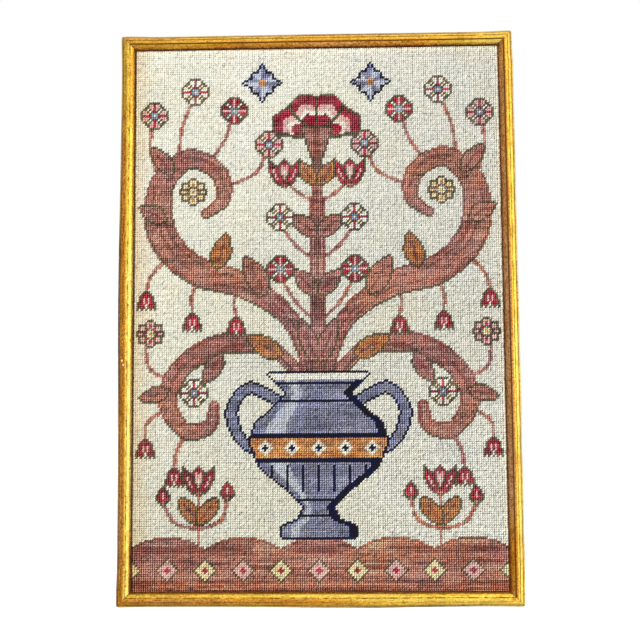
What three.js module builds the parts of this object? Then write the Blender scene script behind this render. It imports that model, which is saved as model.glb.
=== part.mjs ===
// A framed needlepoint picture, upright as it hangs on a wall.
// Four mitred lengths of gilt wooden moulding hold one flat sheet of wool needlepoint in their rabbet.
// Millimetres. X runs to the right across the face, Y from the face towards the wall, Z up.
// The origin is the middle of the flat back of the top length, where the frame rests on the wall.

import * as THREE from 'three';

// The whole frame, over its outer edges.
const WIDTH = 382;
const HEIGHT = 550;

// The moulding's section: its width across the face, its depth from the wall to the dome's crest.
const FACE_WIDTH = 14;
const DEPTH = 18;

// The rabbet is cut in from the back along the inner edge, and holds the needlework behind a lip.
const RABBET_WIDTH = 5;
const LIP_BACK = 11;

// The front of the section, from the outer edge inwards: a small fillet, then one broad low dome
// scored by a groove and a finer line, then the slope to the sight edge. Heights are above the back.
const EDGE_RADIUS = 0.9;
const FILLET_WIDTH = 1.5;
const FILLET_HEIGHT = 14.8;
const DOME_START = 1.7;
const DOME_END = 12.7;
const DOME_FOOT = 14.2;
const FINE_LINE = { middle: 5, width: 0.4, depth: 0.2 };
const GROOVE = { middle: 9, width: 0.7, depth: 0.45 };
const SIGHT_EDGE_HEIGHT = 12;

// The needlework: canvas with wool on both of its sides.
const CLOTH_THICKNESS = 2;

// The space left between pieces that touch.
const GAP = 0.3;

const ARC_STEPS = 10;
const BACK_WIDTH = FACE_WIDTH - RABBET_WIDTH;

const gilt = new THREE.MeshStandardMaterial({ color: 0xc08a2e, roughness: 0.42, metalness: 0.55 });
const wool = new THREE.MeshStandardMaterial({ color: 0xe3decb, roughness: 0.95, metalness: 0 });

// The moulding's section. x is the distance in from the outer edge and y the height above the back.
function mouldingSection() {
  const section = new THREE.Shape();
  section.moveTo(0, 0);
  section.lineTo(0, FILLET_HEIGHT - EDGE_RADIUS);
  section.absarc(EDGE_RADIUS, FILLET_HEIGHT - EDGE_RADIUS, EDGE_RADIUS, Math.PI, Math.PI / 2, true);
  section.lineTo(FILLET_WIDTH, FILLET_HEIGHT);
  section.lineTo(DOME_START, DOME_FOOT);
  addDome(section);
  section.lineTo(FACE_WIDTH, SIGHT_EDGE_HEIGHT);
  section.lineTo(FACE_WIDTH, LIP_BACK);
  section.lineTo(BACK_WIDTH, LIP_BACK);
  section.lineTo(BACK_WIDTH, 0);
  section.closePath();
  return section;
}

// The dome: the upper half of a wide ellipse, with each score cut into it as a narrow V.
function addDome(section) {
  const middle = (DOME_START + DOME_END) / 2;
  const halfWidth = (DOME_END - DOME_START) / 2;
  const rise = DEPTH - DOME_FOOT;
  let angle = Math.PI;
  for (const score of [FINE_LINE, GROOVE]) {
    const near = Math.acos((score.middle - score.width / 2 - middle) / halfWidth);
    const far = Math.acos((score.middle + score.width / 2 - middle) / halfWidth);
    section.absellipse(middle, DOME_FOOT, halfWidth, rise, angle, near, true);
    const surface = DOME_FOOT + (rise * (Math.sin(near) + Math.sin(far))) / 2;
    section.lineTo(score.middle, surface - score.depth);
    section.lineTo(middle + halfWidth * Math.cos(far), DOME_FOOT + rise * Math.sin(far));
    angle = far;
  }
  section.absellipse(middle, DOME_FOOT, halfWidth, rise, angle, 0, true);
}

// One length of moulding with both ends mitred at 45 degrees. It runs along X with its outer edge
// down and its face towards -Y, and the middle of its outer back edge is at its own origin.
function mouldingLength(name, length) {
  const geometry = new THREE.ExtrudeGeometry(mouldingSection(), {
    depth: length,
    steps: 1,
    bevelEnabled: false,
    curveSegments: ARC_STEPS,
  });
  const setBack = (GAP / 2) * Math.SQRT2;
  const places = geometry.attributes.position;
  for (let i = 0; i < places.count; i += 1) {
    const mitre = places.getX(i) + setBack;
    const atStart = places.getZ(i) < length / 2;
    places.setZ(i, atStart ? mitre - length / 2 : length / 2 - mitre);
  }
  const toRail = new THREE.Matrix4().makeBasis(
    new THREE.Vector3(0, 0, 1),
    new THREE.Vector3(0, -1, 0),
    new THREE.Vector3(1, 0, 0),
  );
  geometry.applyMatrix4(toRail);
  geometry.computeVertexNormals();
  const mesh = new THREE.Mesh(geometry, gilt.clone());
  mesh.name = name;
  return mesh;
}

// The four lengths, joined at their mitres, round a point in the middle of the frame's back.
function frame() {
  const group = new THREE.Group();
  const sides = [
    { name: 'frame_bottom', length: WIDTH, x: 0, z: -HEIGHT / 2, turn: 0 },
    { name: 'frame_left', length: HEIGHT, x: -WIDTH / 2, z: 0, turn: Math.PI / 2 },
    { name: 'frame_top', length: WIDTH, x: 0, z: HEIGHT / 2, turn: Math.PI },
    { name: 'frame_right', length: HEIGHT, x: WIDTH / 2, z: 0, turn: -Math.PI / 2 },
  ];
  for (const side of sides) {
    const mesh = mouldingLength(side.name, side.length);
    mesh.position.set(side.x, 0, side.z);
    mesh.rotation.y = side.turn;
    group.add(mesh);
  }
  return group;
}

// The needlework, one flat rectangle stretched in the rabbet, a little clear of its walls and lip.
function needlework() {
  const inset = BACK_WIDTH + GAP;
  const halfWidth = WIDTH / 2 - inset;
  const halfHeight = HEIGHT / 2 - inset;
  const outline = new THREE.Shape();
  outline.moveTo(-halfWidth, -halfHeight);
  outline.lineTo(halfWidth, -halfHeight);
  outline.lineTo(halfWidth, halfHeight);
  outline.lineTo(-halfWidth, halfHeight);
  outline.closePath();
  const geometry = new THREE.ExtrudeGeometry(outline, { depth: CLOTH_THICKNESS, bevelEnabled: false });
  geometry.rotateX(Math.PI / 2);
  const mesh = new THREE.Mesh(geometry, wool);
  mesh.name = 'needlework';
  mesh.position.y = CLOTH_THICKNESS + GAP - LIP_BACK;
  return mesh;
}

// Hangs the picture from the origin, the middle of the top length's flat back.
function picture() {
  const group = new THREE.Group();
  group.add(frame(), needlework());
  group.position.z = BACK_WIDTH / 2 - HEIGHT / 2;
  return group;
}

export default picture();
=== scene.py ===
# A framed needlepoint picture: wool tent stitch on canvas, held in a narrow gilt wooden frame.
# Metres, in the CAD model's frame: X to the right, Y from the face into the wall, Z up.

import math

import bpy
import numpy as np
from mathutils import Matrix, Vector


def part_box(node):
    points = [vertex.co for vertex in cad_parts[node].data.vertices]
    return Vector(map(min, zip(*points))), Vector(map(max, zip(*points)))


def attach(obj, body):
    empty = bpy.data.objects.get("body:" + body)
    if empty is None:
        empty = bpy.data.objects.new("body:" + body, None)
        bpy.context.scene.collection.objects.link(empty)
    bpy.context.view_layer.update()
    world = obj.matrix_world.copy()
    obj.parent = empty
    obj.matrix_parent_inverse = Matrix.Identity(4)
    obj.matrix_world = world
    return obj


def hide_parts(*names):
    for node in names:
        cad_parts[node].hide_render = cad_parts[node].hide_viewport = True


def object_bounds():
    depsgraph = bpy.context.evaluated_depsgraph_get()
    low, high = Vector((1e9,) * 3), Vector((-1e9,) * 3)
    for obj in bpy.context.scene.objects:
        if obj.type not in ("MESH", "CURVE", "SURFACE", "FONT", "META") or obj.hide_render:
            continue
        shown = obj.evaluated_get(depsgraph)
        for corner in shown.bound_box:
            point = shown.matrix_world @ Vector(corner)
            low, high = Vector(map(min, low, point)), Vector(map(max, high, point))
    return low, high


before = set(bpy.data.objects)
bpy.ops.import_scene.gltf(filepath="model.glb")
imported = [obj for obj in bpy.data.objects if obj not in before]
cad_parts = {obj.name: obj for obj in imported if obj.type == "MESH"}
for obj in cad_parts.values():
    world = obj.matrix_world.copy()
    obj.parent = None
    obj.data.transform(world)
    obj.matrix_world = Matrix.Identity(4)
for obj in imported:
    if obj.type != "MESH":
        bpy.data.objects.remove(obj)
CAD_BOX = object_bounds()
CAD_MIDDLE = (CAD_BOX[0] + CAD_BOX[1]) / 2

MM = 0.001

# The canvas: twelve threads to the inch, one stitch over each crossing.
PITCH = 0.0254 / 12
COLUMNS, ROWS = 171, 250
MIDDLE = COLUMNS // 2
OPENING = (0.354, 0.522)
STITCH_BANDS = 5

# The canvas's depth behind the wool's front, and how far its threads and holes wander and its
# weave bows, in millimetres.
CANVAS_DEPTH = 0.60
THREAD_WANDER = 0.055
HOLE_WANDER = 0.05
WEAVE_BOW = 0.5

# The gaps between stitches, from 0 to 1: their mean, how they vary along a thread and each by itself.
GAP_MEAN, GAP_BY_THREAD, GAP_BY_HOLE = 0.21, 0.26, 0.30

# A stitch at five places along it: its share of the full width and height there.
STITCH_ALONG = (0.0, 0.2, 0.5, 0.8, 1.0)
STITCH_WIDTH = (0.42, 0.88, 1.0, 0.88, 0.42)
STITCH_HEIGHT = (-0.30, 0.72, 1.0, 0.72, -0.30)

# A stitch's height in millimetres, and then, for a pale yarn and for a deep one: its width, the
# share of its colour that its edges keep under painted shade, how much painted shade darkens it
# towards the lines between columns and between rows, the share of its colour left in its holes under
# painted shade, how far they are raised, and how uneven the dye is from stitch to stitch and along
# the yarn. Gaping holes are raised further.
YARN_RISE = 0.53
YARN_WIDTH = (1.46, 1.40)
EDGE_SHADE = (0.92, 0.75)
SHADE_ACROSS = (0.365, 0.78)
SHADE_UP = (0.182, 0.42)
HOLE_SHADE = (0.36, 0.06)
HOLE_RISE = (0.0, 0.03)
UNEVEN_EACH = (0.064, 0.14)
UNEVEN_ALONG = (0.045, 0.36)
HOLE_GAPE = 0.15

# The moulding's section in millimetres, as in the CAD model: across from the outer edge, heights
# above the flat back. Each score is its middle, width and depth.
FACE_WIDTH = 14.0
RABBET_WIDTH = 5.0
LIP_BACK = 11.0
EDGE_RADIUS = 0.9
FILLET_WIDTH = 1.5
FILLET_HEIGHT = 14.8
DOME_START = 1.7
DOME_END = 12.7
DOME_FOOT = 14.2
DOME_CREST = 18.0
FINE_LINE = (5.0, 0.4, 0.2)
GROOVE = (9.0, 0.7, 0.45)
SIGHT_EDGE_HEIGHT = 12.0

# The moulding's mesh: points over the dome, and millimetres between one section and the next.
DOME_POINTS = 24
STATION_STEP = 1.25

# The moulding's age, in millimetres: the crack of each mitre, how far from it the gilding is rubbed
# and chipped, the reach and depth to which its edges sink, how far the outer corners are rubbed and
# over what reach, and how much gesso lies in the grooves, the more the less they are darkened.
MITRE_GAP = 0.05
MITRE_RUB = 1.1
MITRE_CHIP = 0.4
MITRE_SINK = (0.35, 0.22)
CORNER_RUB = 0.7
CORNER_REACH = 3.0
GROOVE_FILL = 0.12

# Small knocks: one to so many millimetres of length, at the section's high places.
KNOCK_SPACING = 9
KNOCK_PLACES = (0.2, 0.7, 1.6, 5.4, 6.6, 7.6, 9.5, 12.2)

# An outer edge's swell: its half length as a share of the side, and the millimetres from the
# corners over which it sets in.
SWELL_SHARE = 0.2
SWELL_CLEAR = (4, 40)

# The camera's place from the middle of the picture's face, and its turns in degrees: about the
# vertical, up, and round its own axis.
CAMERA_PLACE = (0.0253, -0.9261, -0.0858)
CAMERA_TURNS = ((1.422, "Z"), (4.871, "X"), (-0.397, "Z"))

# The room that gloss sees: its glow from left (-1) to right (1), what that is multiplied by at the
# bottom and at the top, and how far to the right it leans on its way down from the middle.
ROOM_SIDEWAYS = (
    (-1, 0.7), (-0.7, 0.41), (-0.52, 0.34), (-0.36, 1.0), (0, 1.12), (0.14, 1.3), (0.3, 1.65), (1, 1.4),
)
ROOM_BELOW, ROOM_ABOVE = 0.9, 1.1
ROOM_SLANT = 0.38

# The glow that lights the wool from all round, the lamps' power in watts, and in metres the floor's
# half width and its depth below the middle of the picture.
SOFT_LIGHT = 0.28
KEY_POWER = 54
SIDE_POWER = 12
FLOOR_REACH = 400.0
FLOOR_DROP = 1.5


# ---- numbers


def seeded(seed):
    return np.random.default_rng(seed)


def lattice_noise(x, y, cell, seed):
    """Smooth noise from -1 to 1 over a plane, from random values on a lattice of the given cell."""
    values = seeded(seed).uniform(-1, 1, (256, 256))
    gx, gy = np.asarray(x) / cell + 64, np.asarray(y) / cell + 64
    ix, iy = np.floor(gx).astype(int), np.floor(gy).astype(int)
    fx, fy = gx - ix, gy - iy
    fx, fy = fx * fx * (3 - 2 * fx), fy * fy * (3 - 2 * fy)

    def at(i, j):
        return values[i % 256, j % 256]

    low = at(ix, iy) * (1 - fx) + at(ix + 1, iy) * fx
    high = at(ix, iy + 1) * (1 - fx) + at(ix + 1, iy + 1) * fx
    return low * (1 - fy) + high * fy


def eased(value, low, high):
    """Goes smoothly from 0 at low to 1 at high, whichever is the larger."""
    share = np.clip((value - low) / (high - low), 0, 1)
    return share * share * (3 - 2 * share)


def unit(values):
    """Values spread over 0 to 1."""
    low, high = values.min(), values.max()
    return (values - low) / (high - low)


def by_depth(pair, dark):
    """Between a pale yarn's number and a deep yarn's."""
    return pair[0] + (pair[1] - pair[0]) * dark


def linear(colour):
    """An sRGB colour from 0 to 255 as linear light."""
    c = np.asarray(colour, float) / 255
    return np.where(c <= 0.04045, c / 12.92, ((c + 0.055) / 1.055) ** 2.4)


def tinted(colours, share, change):
    """Colours changed by shares of their red, green and blue, in full where the share is 1."""
    return colours * (1 + share[..., None] * np.array(change))


def freed(values, rows, columns):
    """Takes away most of what each value has in common with the window of rows and columns round it."""
    padded = np.pad(values, ((rows // 2, rows // 2), (columns // 2, columns // 2)), "edge")
    windows = np.lib.stride_tricks.sliding_window_view(padded, (rows, columns))
    return values - 0.85 * windows.mean(axis=(2, 3))


# ---- the stitched design

# Each yarn's colour where the light catches it, and how much painted shade darkens its stitches at
# their edges and ends: 0 for the pale wools to 1 for the deep ones.
YARNS = {
    "ground": ((230, 230, 219), 0.0),
    "outline": ((144, 133, 110), 1.0),
    "rose_brown": ((234, 169, 157), 1.0),
    "deep_brown": ((200, 134, 124), 1.0),
    "crimson": ((219, 80, 108), 1.0),
    "pink": ((243, 200, 197), 0.4),
    "ivory": ((240, 238, 229), 0.0),
    "straw": ((254, 236, 190), 0.3),
    "sky": ((160, 186, 214), 0.7),
    "navy": ((30, 34, 80), 1.0),
    "slate": ((176, 180, 215), 0.9),
    "mist": ((218, 225, 243), 0.5),
    "orange": ((250, 178, 118), 0.8),
    "rose": ((243, 184, 170), 0.9),
    "ochre": ((244, 170, 116), 1.0),
}
NAMES = list(YARNS)
BARE = -1
LETTERS = dict(zip("kmdcpwybnslorh", NAMES[1:]))

ROSETTE = """
    ....kkk
    ...kppc
    ..kkppc
    .kkwkpc
    kppkwkc
    kpppkbb
    kccccby
"""
DAISY = """
    .....kk
    ....kpp
    .kkkkpc
    .kppkpc
    .kppckb
    kkkkkyy
    kppcbyo
"""
TULIP = """
    k......k
    kk....kc
    kck..kcc
    kcckkcpc
    kccckcpp
    kcpcckpp
    kcpcckpw
    .kcpckpw
    .kcpcckp
    ..kcpckp
    ..kccckc
    ...kccck
    ....kkmm
    ......km
"""
BUD = """
    ...k
    ..kc
    .kcc
    .kcp
    kccp
    kccp
    kkcc
    .kkm
    ..km
"""
BELL = """
    ...kk
    ..kcc
    .kccc
    .kcpc
    .kcpc
    kccpc
    kcccw
    kkckw
    k.k.k
"""


def yarn(name):
    return NAMES.index(name)


def charted(rows, both_ways=False, **dyes):
    """A chart opened out from its middle column, and from its middle row too if both_ways.

    dyes gives letters of the chart other yarns.
    """
    code = {letter: yarn(name) for letter, name in {**LETTERS, **dyes}.items()}
    half = [[code.get(stitch, BARE) for stitch in row] for row in rows.split()]
    whole = np.array([row + row[-2::-1] for row in half])
    if both_ways:
        whole = np.vstack([whole, whole[-2::-1]])
    return whole[::-1]


def smooth(points, t):
    """A point on the Catmull-Rom curve through the points."""
    i = min(int(t), len(points) - 2)
    f = t - i
    near = (i - 1, i, i + 1, i + 2)
    p = [np.array(points[min(max(j, 0), len(points) - 1)], float) for j in near]
    return 0.5 * (
        2 * p[1]
        + (p[2] - p[0]) * f
        + (2 * p[0] - 5 * p[1] + 4 * p[2] - p[3]) * f**2
        + (3 * p[1] - p[0] - 3 * p[2] + p[3]) * f**3
    )


class Chart:
    """The yarn of each stitch. Rows count up from the bottom, columns from the middle."""

    def __init__(self):
        self.yarns = np.full((ROWS, COLUMNS), yarn("ground"))
        self.row, self.column = np.mgrid[0:ROWS, 0:COLUMNS]
        self.column -= MIDDLE

    def fill(self, where, name):
        """Works an area and its mirror image."""
        self.yarns[where | where[:, ::-1]] = yarn(name)

    def fill_outlined(self, where, name, edge="outline"):
        """Works an area with one stitch of the edge yarn round it."""
        round_it = np.pad(where, 1)
        beside = round_it[1:-1, :-2] | round_it[1:-1, 2:] | round_it[:-2, 1:-1] | round_it[2:, 1:-1]
        self.fill(where | beside, edge)
        self.fill(where, name)

    def fill_shaded(self, where, name):
        """Works an area edged in the deeper brown, with the outline yarn along its underside only."""
        self.fill_outlined(where, name, "deep_brown")
        both = where | where[:, ::-1]
        self.fill(np.pad(both, ((0, 1), (0, 0)))[1:] & ~both, "outline")

    def stamp(self, motif, x, y):
        """Works a charted motif round column x, row y, and its mirror image."""
        high, wide = motif.shape
        low = y - high // 2
        for side in (x, -x):
            left = MIDDLE + side - wide // 2
            part = self.yarns[low : low + high, left : left + wide]
            part[motif != BARE] = motif[motif != BARE]

    def along(self, points, widths):
        """The area of a stem that runs through the points with the given widths at them."""
        where = np.zeros((ROWS, COLUMNS), bool)
        for t in np.linspace(0, len(points) - 1, 260):
            x, y = smooth(points, t)
            radius = max(smooth([(w, 0) for w in widths], t)[0] / 2, 0.75)
            where |= (self.column - x) ** 2 + (self.row - y) ** 2 <= radius**2
        return where

    def streak(self, points, widths, seed):
        """Works broken lines of a lighter and a darker yarn along a stem."""
        spine = np.array([smooth(points, t) for t in np.linspace(0, len(points) - 1, 200)])
        steps = np.diff(spine, axis=0)
        strides = np.hypot(*steps.T)
        dx, dy = self.column[..., None] - spine[1:, 0], self.row[..., None] - spine[1:, 1]
        nearest = (dx**2 + dy**2).argmin(axis=2)
        run = np.cumsum(strides)[nearest]
        side = (dy * steps[:, 0] - dx * steps[:, 1]) / strides
        side = np.take_along_axis(side, nearest[..., None], 2)[..., 0]
        body = self.along(points, widths)
        lines = lattice_noise(run / 14, side, 1.15, seed)
        self.fill(body & (lines > 0.42), "rose")
        self.fill(body & (lines < -0.45), "deep_brown")

    def leaf(self, x, y, angle, length, width, dye="rose_brown"):
        """Works a pointed leaf with a rib, from its foot at column x, row y."""
        a = math.radians(angle)
        out = (self.column - x) * math.cos(a) + (self.row - y) * math.sin(a)
        side = (self.row - y) * math.cos(a) - (self.column - x) * math.sin(a)
        share = np.clip(out / length, 0, 1)
        half = width / 2 * np.sin(math.pi * share**0.8) ** 0.8
        body = (out >= 0) & (out <= length) & (np.abs(side) <= half)
        self.fill_outlined(body, dye)
        self.fill((out >= 2) & (out <= length * 0.72) & (np.abs(side) <= 0.6), "deep_brown")


def work_carnation(c, x, y, radius):
    """A fan of toothed petals over a cup."""
    dx, dy = c.column - x, c.row - y
    reach = np.hypot(dx, dy)
    angle = np.degrees(np.arctan2(dx, dy))
    tooth = 2.4 * np.abs((angle / 20) % 2 - 1)
    spread = np.abs(angle) < 80
    c.fill_outlined(spread & (reach < radius - tooth), "crimson")
    for inset, name in ((4, "pink"), (7, "ivory"), (9, "crimson")):
        c.fill(spread & (reach < radius - inset - tooth), name)
    between = np.abs((angle + 20) % 40 - 20) * reach < 46
    c.fill(spread & between & (reach < radius - 1) & (reach > 5), "outline")
    cup = (np.abs(dx) < 6.5 - (5 - dy) * 0.33) & (dy > -12) & (dy <= 5)
    c.fill_outlined(cup, "rose_brown")
    c.fill(cup & (np.abs(dx) < 1.5), "deep_brown")


def work_star(c, x, y, size):
    """An eight-pointed star, each point half dark and half pale."""
    dx, dy = c.column - x, c.row - y
    big = np.maximum(np.abs(dx), np.abs(dy))
    small = np.minimum(np.abs(dx), np.abs(dy))
    body = (big + 1.6 * small <= size) | (big <= size * 0.52)
    c.fill_outlined(body, "slate", "navy")
    c.fill(body & (((dx > 0) == (dy > 0)) ^ (np.abs(dx) > np.abs(dy))), "mist")
    c.fill(body & (big <= 1), "orange")


def work_band(c):
    scallop = 19 + 5 * np.abs(np.cos(math.pi * c.column / 34))
    c.fill_outlined(c.row < scallop, "rose_brown", "deep_brown")
    lines = lattice_noise(c.column / 22, c.row, 1.1, 61)
    c.fill((c.row < scallop) & (lines > 0.55), "rose")
    c.fill((c.row < scallop) & (lines < -0.45), "deep_brown")
    for x in range(0, MIDDLE + 9, 17):
        reach = np.abs(c.column - x) + np.abs(c.row - 10)
        c.fill(reach <= 5, "outline")
        c.fill(reach <= 4, "straw" if (x // 17) % 2 else "pink")
        c.fill(reach <= 1, "crimson")


URN_FOOT, URN_RIM, URN_GIRTH = 25, 97, 64
URN_HEIGHTS = (0, 0.06, 0.10, 0.18, 0.26, 0.42, 0.58, 0.70, 0.82, 0.88, 0.93, 1.0)
URN_HALVES = (16, 16, 9, 6, 12, 26, 31, 28, 18, 14, 17, 22)


def work_urn(c):
    across = np.abs(c.column)
    share = (c.row - URN_FOOT) / (URN_RIM - URN_FOOT)
    half = np.interp(share, URN_HEIGHTS, URN_HALVES)
    urn = (share >= 0) & (share <= 1) & (across <= half)
    handle = [(-18, 85), (-31, 91), (-39, 81), (-35, 68), (-26, 63)]
    c.fill_outlined(c.along(handle, [4] * 5), "slate", "navy")
    c.fill_outlined(urn, "slate", "navy")
    c.yarns[urn & (across > half - 3) & (c.column > 0)] = yarn("navy")
    c.yarns[urn & (across > half * 0.5) & (across < half * 0.8) & (c.column < 0)] = yarn("mist")
    from_girth = np.abs(c.row - URN_GIRTH)
    c.fill(urn & (from_girth <= 6), "navy")
    c.fill(urn & (from_girth <= 4), "orange")
    reach = np.abs((c.column + 6) % 12 - 6) + from_girth
    c.fill(urn & (reach <= 3), "ivory")
    c.fill(urn & (reach <= 1), "navy")
    for y in (34, 41, 85, 93):
        c.fill(urn & (c.row == y), "navy")
    c.fill(urn & (c.row > 44) & (c.row < 57) & (c.column % 7 == 0), "navy")
    c.fill(urn & (c.row > 94), "ivory")


def work_scrolls(c):
    high = [(-3, 97), (-12, 121), (-32, 137), (-56, 145), (-71, 161), (-72, 183), (-60, 196),
            (-46, 191), (-43, 178), (-51, 171)]
    low = [(-8, 97), (-22, 109), (-43, 111), (-61, 101), (-68, 85), (-60, 72), (-49, 74), (-47, 83)]
    stem = [(0, 95), (0, 150), (0, 200)]
    for points, widths, seed in (
        (high, [5, 7, 10, 12, 12, 10, 8, 7, 5, 3], 10),
        (low, [4, 6, 8, 8, 7, 6, 5, 3], 8),
        (stem, [5, 5, 3], 5),
    ):
        c.fill_shaded(c.along(points, widths), "rose_brown")
        c.streak(points, widths, seed)


def work_stalks(c):
    for points in (
        [(-74, 190), (-77, 202), (-76, 212)], [(-64, 196), (-62, 212), (-58, 222)],
        [(-50, 194), (-42, 206), (-40, 214)], [(-40, 184), (-28, 190), (-24, 198)],
        [(-66, 152), (-75, 144), (-78, 136)], [(-52, 142), (-57, 134), (-57, 126)],
        [(-36, 138), (-38, 130), (-37, 124)], [(-66, 95), (-76, 100), (-78, 110)],
        [(-68, 82), (-77, 76), (-78, 68)], [(-60, 70), (-64, 62), (-65, 54)], [(-54, 22), (-54, 46)],
        [(-54, 28), (-44, 32), (-41, 42)], [(-54, 28), (-65, 31), (-70, 40)],
        [(0, 120), (-10, 130), (-16, 140)], [(0, 148), (-10, 156), (-16, 164)],
        [(0, 175), (-8, 180), (-14, 186)],
    ):
        c.fill(c.along(points, [1.6] * len(points)), "rose_brown")


def work_leaves(c):
    for x, y, angle, length, width, *dye in (
        (-24, 134, 118, 19, 9), (-46, 146, 74, 16, 8, "ochre"), (-70, 168, 150, 13, 7),
        (-67, 190, 128, 15, 7), (-17, 106, 152, 17, 8, "ochre"), (-44, 106, 240, 14, 7),
        (-1, 103, 110, 20, 7), (-1, 134, 132, 14, 7), (-1, 161, 140, 14, 7),
        (-1, 185, 128, 12, 6, "ochre"), (-54, 31, 128, 14, 7, "ochre"), (-54, 31, 52, 14, 7, "ochre"),
        (-68, 90, 196, 13, 6),
    ):
        c.leaf(x, y, angle, length, width, *dye)


def work_flowers(c):
    rosette, daisy = charted(ROSETTE, True), charted(DAISY, True)
    tulip, bud, bell = charted(TULIP), charted(BUD), charted(BELL)
    pale = charted(ROSETTE, True, p="ivory", w="straw")
    red = charted(ROSETTE, True, p="crimson", c="pink")
    yellow = charted(DAISY, True, p="straw", c="orange")
    work_carnation(c, 0, 205, 22)
    for motif, x, y in (
        (rosette, -75, 217), (pale, -56, 228), (red, -38, 219), (rosette, -22, 203), (yellow, -57, 181),
        (pale, -56, 89), (daisy, -76, 116), (red, -17, 145), (pale, -17, 169), (tulip, -15, 190),
        (tulip, -54, 50), (bud, -41, 45), (bud, -70, 43), (bell, -37, 119), (bell, -57, 121),
        (bell, -78, 131), (bell, -78, 64), (bell, -65, 51),
    ):
        c.stamp(motif, x, y)
    work_star(c, 25, 232, 8)


def design():
    c = Chart()
    work_band(c)
    work_stalks(c)
    work_scrolls(c)
    work_leaves(c)
    work_urn(c)
    work_flowers(c)
    return c.yarns


# ---- meshes


def add_object(name, data):
    thing = bpy.data.objects.new(name, data)
    bpy.context.scene.collection.objects.link(thing)
    return thing


def grid_faces(at):
    """The faces of a grid, from the vertex numbers at its crossings."""
    return np.stack([at[:-1, :-1], at[1:, :-1], at[1:, 1:], at[:-1, 1:]], -1).reshape(-1, 4)


def new_mesh(name, places, faces, materials, slots=None):
    """A smooth mesh object from places in metres, faces, and the material slot of each face."""
    mesh = bpy.data.meshes.new(name)
    mesh.from_pydata(places.tolist(), [], faces)
    mesh.shade_smooth()
    for material in materials:
        mesh.materials.append(material)
    if slots:
        mesh.polygons.foreach_set("material_index", slots)
    return add_object(name, mesh)


def add_numbers(piece, **layers):
    """Attributes by name, each a number for every vertex."""
    for name, values in layers.items():
        layer = piece.data.attributes.new(name, "FLOAT", "POINT")
        layer.data.foreach_set("value", np.ascontiguousarray(values, np.float32).ravel())


def add_colour(piece, name, colours):
    layer = piece.data.color_attributes.new(name, "FLOAT_COLOR", "POINT")
    full = np.ones((len(colours), 4), np.float32)
    full[:, :3] = colours
    layer.data.foreach_set("color", full.ravel())


def add_map(piece, across, up):
    """The piece's own UV map, from two numbers for each vertex."""
    layer = piece.data.uv_layers.new(name="OFBake")
    corners = np.empty(len(piece.data.loops), np.int32)
    piece.data.loops.foreach_get("vertex_index", corners)
    layer.uv.foreach_set("vector", np.stack([across, up], -1)[corners].astype(np.float32).ravel())


# ---- shader nodes


class Wire:
    """A value that flows from node to node. Arithmetic on it adds Math nodes."""

    def __init__(self, node, output=0):
        self.tree, self.socket = node.id_data, node.outputs[output]

    def maths(self, operation, other=0.0, clamp=False):
        settings = {"operation": operation, "use_clamp": clamp}
        return Wire(add_node(self.tree, "Math", settings, _0=self, _1=other))

    def __add__(self, other):
        return self.maths("ADD", other)

    def __sub__(self, other):
        return self.maths("SUBTRACT", other)

    def __rsub__(self, other):
        return Wire(add_node(self.tree, "Math", {"operation": "SUBTRACT"}, _0=other, _1=self))

    def __mul__(self, other):
        return self.maths("MULTIPLY", other)

    def __pow__(self, other):
        return self.maths("POWER", other)

    def __abs__(self):
        return self.maths("ABSOLUTE")

    def remap(self, low, high, to_low=0.0, to_high=1.0):
        """The value with low to high moved onto to_low to to_high, and held within them."""
        ends = {"From_Min": low, "From_Max": high, "To_Min": to_low, "To_Max": to_high}
        return Wire(add_node(self.tree, "MapRange", Value=self, **ends), "Result")


def feed(socket, value):
    """Links a wire to a socket, or sets the socket to a number or a colour."""
    if isinstance(value, Wire):
        socket.id_data.links.new(value.socket, socket)
    else:
        socket.default_value = (*value, 1) if socket.type == "RGBA" else value


def add_node(tree, kind, settings=(), **inputs):
    """A shader node. settings are its properties, inputs its sockets by name or by _number."""
    node = tree.nodes.new("ShaderNode" + kind)
    for key, value in dict(settings).items():
        setattr(node, key, value)
    for key, value in inputs.items():
        feed(node.inputs[int(key[1:]) if key[0] == "_" else key.replace("_", " ")], value)
    return node


def mix(share, a, b, blend="MIX"):
    """From colour a at share 0 to colour b, or the blend of both, at share 1."""
    tree = share.tree if isinstance(share, Wire) else a.tree
    settings = {"data_type": "RGBA", "blend_type": blend, "clamp_result": False}
    return Wire(add_node(tree, "Mix", settings, _0=share, _6=a, _7=b), 2)


def ramp(value, stops):
    """A colour ramp with stops of (place, colour)."""
    node = add_node(value.tree, "ValToRGB", Fac=value)
    elements = node.color_ramp.elements
    elements.remove(elements[1])
    elements[0].position = stops[0][0]
    elements[0].color = (*stops[0][1], 1)
    for place, colour in stops[1:]:
        elements.new(place).color = (*colour, 1)
    return Wire(node, "Color")


def grey_ramp(value, stops):
    """A ramp with stops of (place, number)."""
    return brightness(ramp(value, [(place, (level, level, level)) for place, level in stops]))


def brightness(colour):
    return Wire(add_node(colour.tree, "RGBToBW", Color=colour))


def combine(x, y, z=0.0):
    return Wire(add_node(x.tree, "CombineXYZ", X=x, Y=y, Z=z))


def shaded(colour, shade):
    """A colour times a number."""
    return mix(1.0, colour, combine(shade, shade, shade), "MULTIPLY")


def across_and_up(vector):
    node = add_node(vector.tree, "SeparateXYZ", Vector=vector)
    return Wire(node, "X"), Wire(node, "Z")


def noise(vector, scale, detail=3.0, roughness=0.55):
    node = add_node(vector.tree, "TexNoise", Vector=vector, Scale=scale, Detail=detail, Roughness=roughness)
    return Wire(node, "Fac")


def bump(height, strength, distance):
    node = add_node(height.tree, "Bump", Strength=strength, Distance=distance, Height=height)
    return Wire(node, "Normal")


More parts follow.
